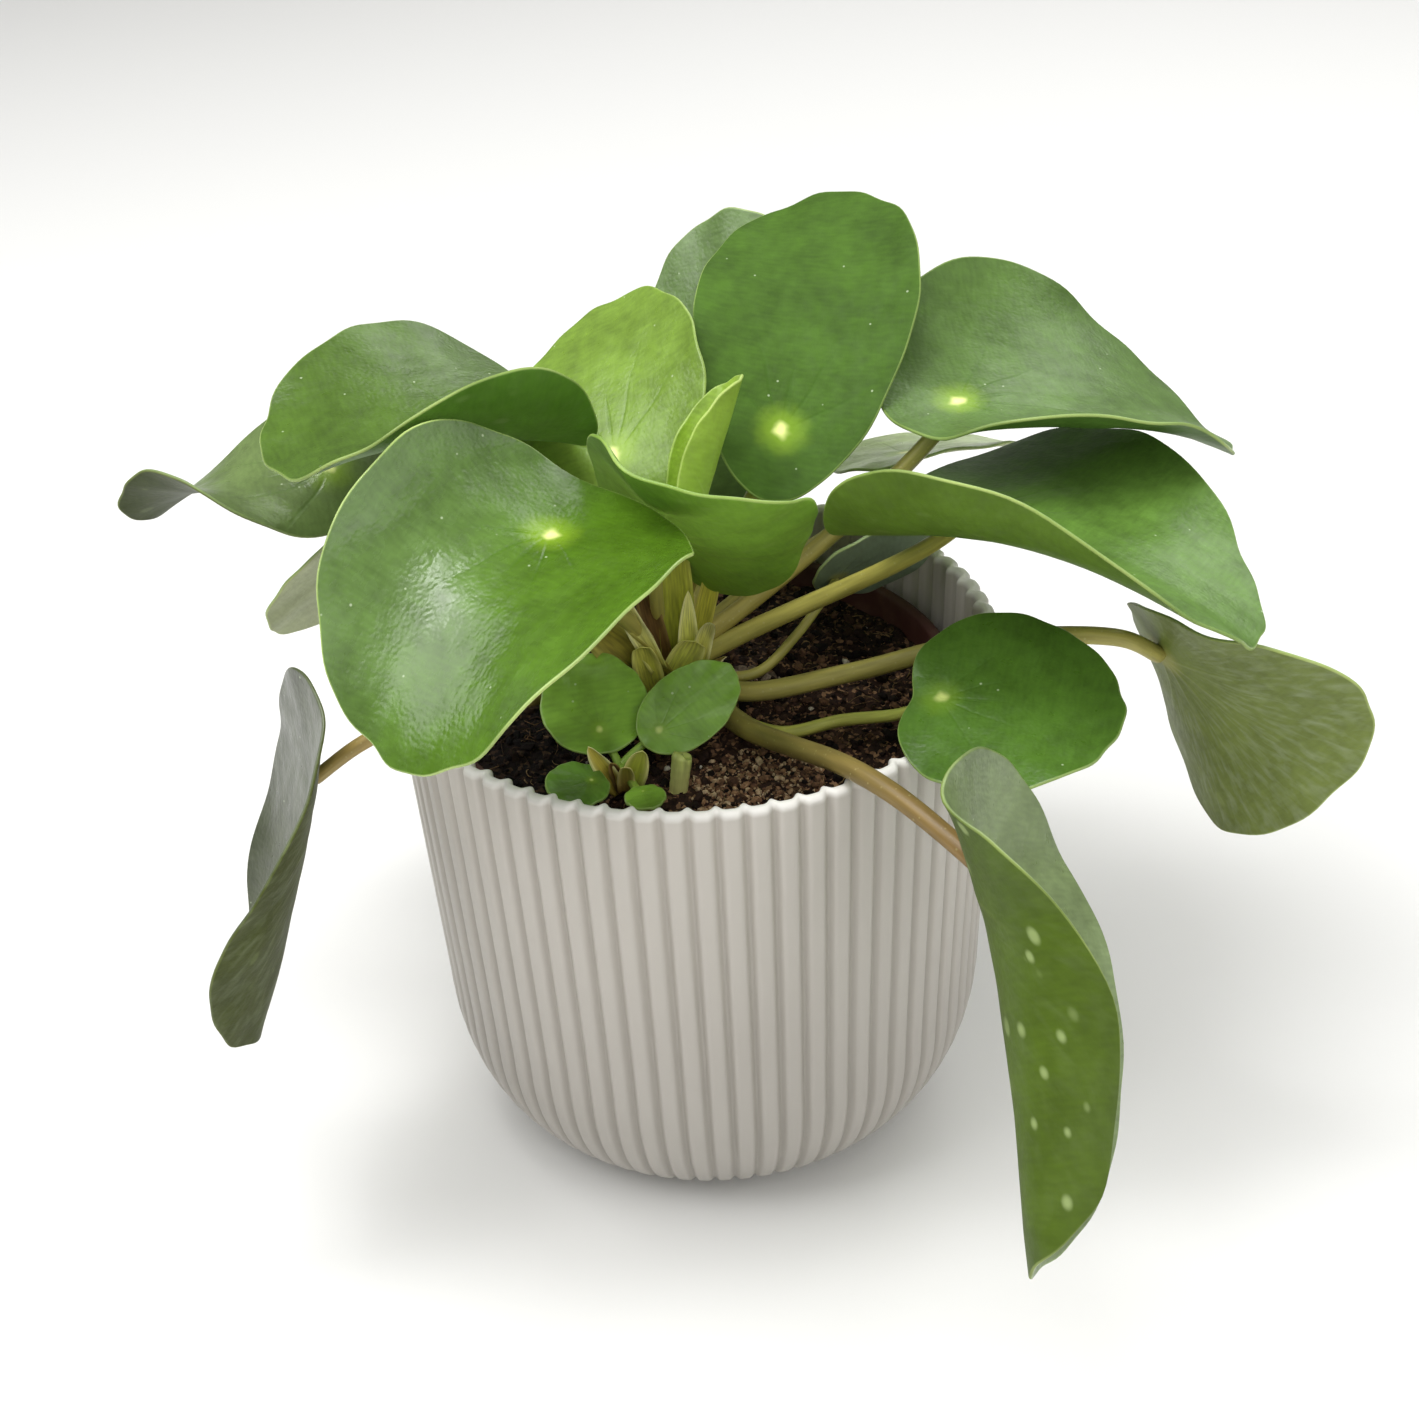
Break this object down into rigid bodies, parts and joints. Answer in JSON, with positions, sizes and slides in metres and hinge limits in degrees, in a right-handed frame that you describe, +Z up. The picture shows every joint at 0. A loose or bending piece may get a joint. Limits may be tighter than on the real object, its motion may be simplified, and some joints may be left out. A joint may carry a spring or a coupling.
{
  "type": "potted pilea plant",
  "caption": "Houseplant with round peltate blades on long stalks from a short stem, in soil in a nursery pot that stands in a fluted outer pot.",
  "frame": {"origin": "centre of the flat disc that the outer pot stands on", "axes": "+Z up through the pot; -Y is the side that the picture was taken from, with its right at +X"},
  "size_m": [0.2724, 0.2451, 0.2006],
  "materials": {
    "outer_pot": "satin",
    "nursery_pot": "matte",
    "soil": "matte",
    "stalk": "satin",
    "sprout_stalk": "satin",
    "blade": "satin",
    "young_blade": "satin",
    "dull_blade": "satin",
    "sprout_blade": "satin"
  },
  "bodies": {
    "root": {"outer_pot": "outer_pot", "nursery_pot": "nursery_pot", "soil": "soil", "main_stem_with_stalks": "stalk", "stem_stub": "stalk", "sprout_stem": "sprout_stalk", "leaf_front_left": "blade", "leaf_upper_left": "blade", "leaf_far_left": "dull_blade", "leaf_left_back": "dull_blade", "leaf_left_hanging": "dull_blade", "leaf_centre_left": "young_blade", "leaf_young_folded": "young_blade", "leaf_centre_tall": "blade", "leaf_centre_back": "dull_blade", "leaf_upper_right": "blade", "leaf_right_front": "blade", "leaf_right_back": "dull_blade", "leaf_right_hanging": "dull_blade", "leaf_round": "blade", "leaf_front_hanging": "blade", "leaf_centre_raised": "blade", "leaf_small_back": "dull_blade", "leaf_sprout_left": "sprout_blade", "leaf_sprout_right": "sprout_blade", "leaf_sprout_low": "sprout_blade", "leaf_sprout_tiny": "sprout_blade"}
  },
  "joints": []
}
